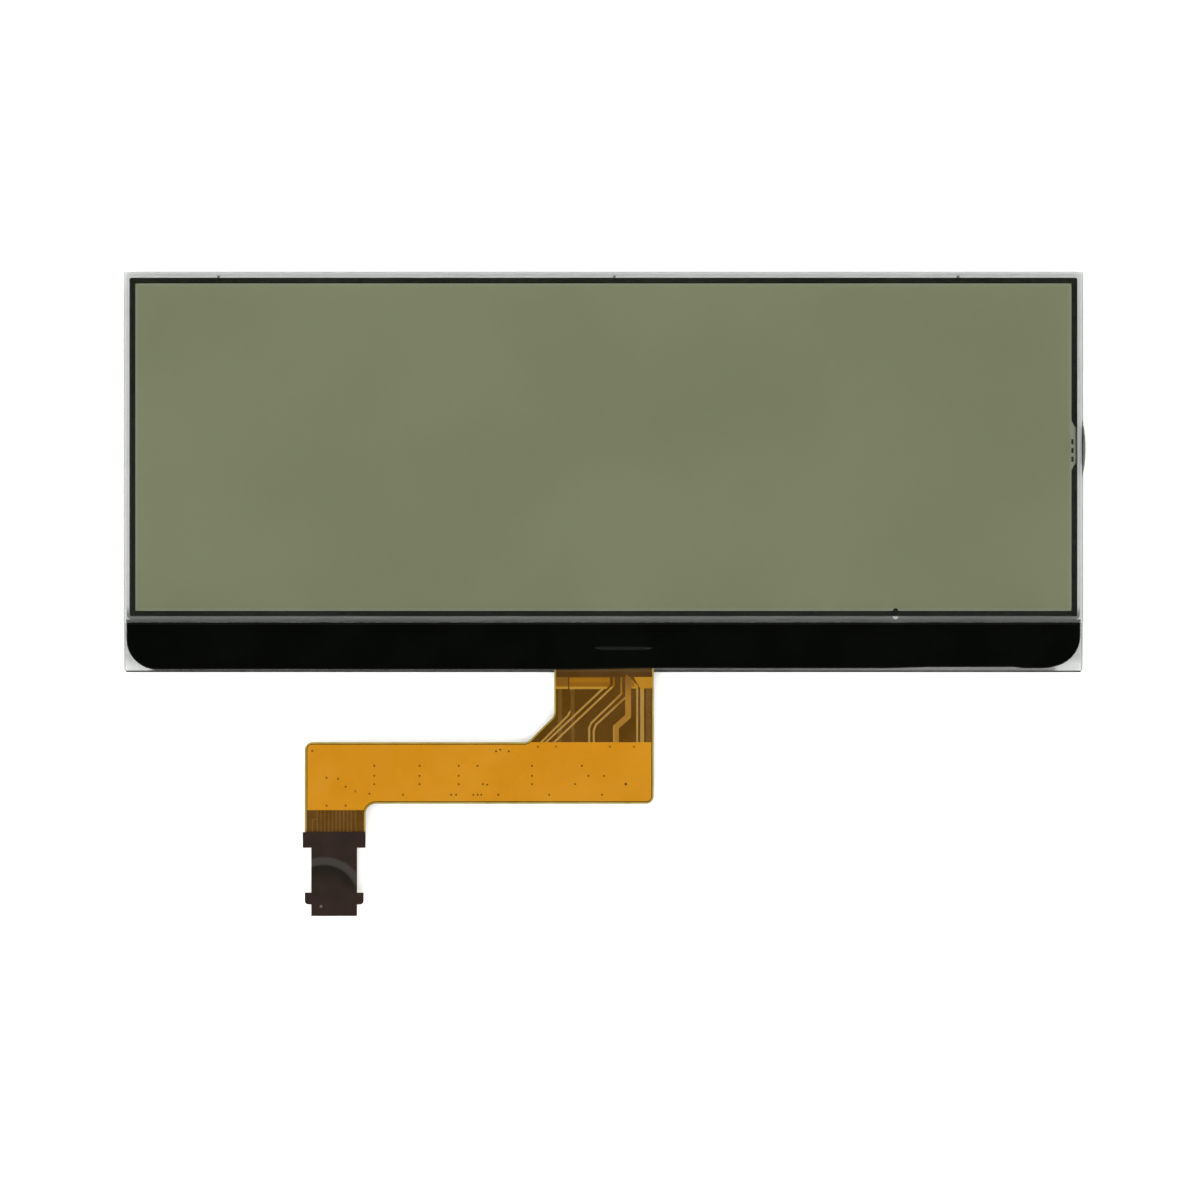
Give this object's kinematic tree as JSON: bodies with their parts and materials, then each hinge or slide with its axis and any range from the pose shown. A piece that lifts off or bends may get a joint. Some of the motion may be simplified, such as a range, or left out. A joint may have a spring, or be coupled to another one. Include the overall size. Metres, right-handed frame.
{
  "type": "liquid crystal display panel",
  "caption": "Flat rectangular reflective glass display panel with an olive viewing area, a black coated chip ledge and an offset amber flexible tail ending in a stiffened plug-in tab.",
  "frame": {"origin": "on the rear face of the reflector film, below the centre of the front glass", "axes": "+X along the panel to the right as seen from the viewer, +Y away from the ledge and the tail, +Z out of the viewing face"},
  "size_m": [0.1156, 0.0773, 0.0027],
  "materials": {
    "mirror_film": "satin silver reflector film",
    "polarizer_film": "neutral polarizing film, slightly matt",
    "clear_glass": "clear float glass with scribed edges",
    "seal_resin": "epoxy, dark under the polarizer",
    "olive_crystal": "olive, as seen through the polarizers",
    "silver_paste": "dull silver",
    "clear_grey_resin": "cured acrylic resin",
    "bare_silicon": "ground silicon",
    "gold_plate": "gold plated",
    "bond_adhesive": "cured conducting film",
    "black_resin": "glossy black protective resin",
    "polyimide": "brown polyimide",
    "etched_copper": "copper under amber film",
    "amber_cover": "amber polyimide coverlay",
    "brown_cover": "amber polyimide coverlay on the back",
    "dark_polyimide": "dark brown glossy polyimide",
    "clear_glue": "pressure sensitive adhesive"
  },
  "bodies": {
    "root": {"reflector": "mirror_film", "rear_polarizer": "polarizer_film", "front_polarizer": "polarizer_film", "rear_glass": "clear_glass", "front_glass": "clear_glass", "perimeter_seal": "seal_resin", "port_pillars": "seal_resin", "liquid_crystal": "olive_crystal", "transfer_dot": "silver_paste", "end_seal": "clear_grey_resin", "driver_chip": "bare_silicon", "chip_bumps": "gold_plate", "chip_bond_film": "bond_adhesive", "ledge_coating": "black_resin", "flex_bond_film": "bond_adhesive", "flex_base_film": "polyimide", "flex_front_copper": "etched_copper", "flex_front_coverlay": "amber_cover", "flex_back_copper": "etched_copper", "flex_back_coverlay": "brown_cover", "flex_vias": "etched_copper", "bond_fingers": "gold_plate", "contact_fingers": "gold_plate", "stiffener_glue": "clear_glue", "tail_stiffener": "dark_polyimide"}
  },
  "joints": []
}
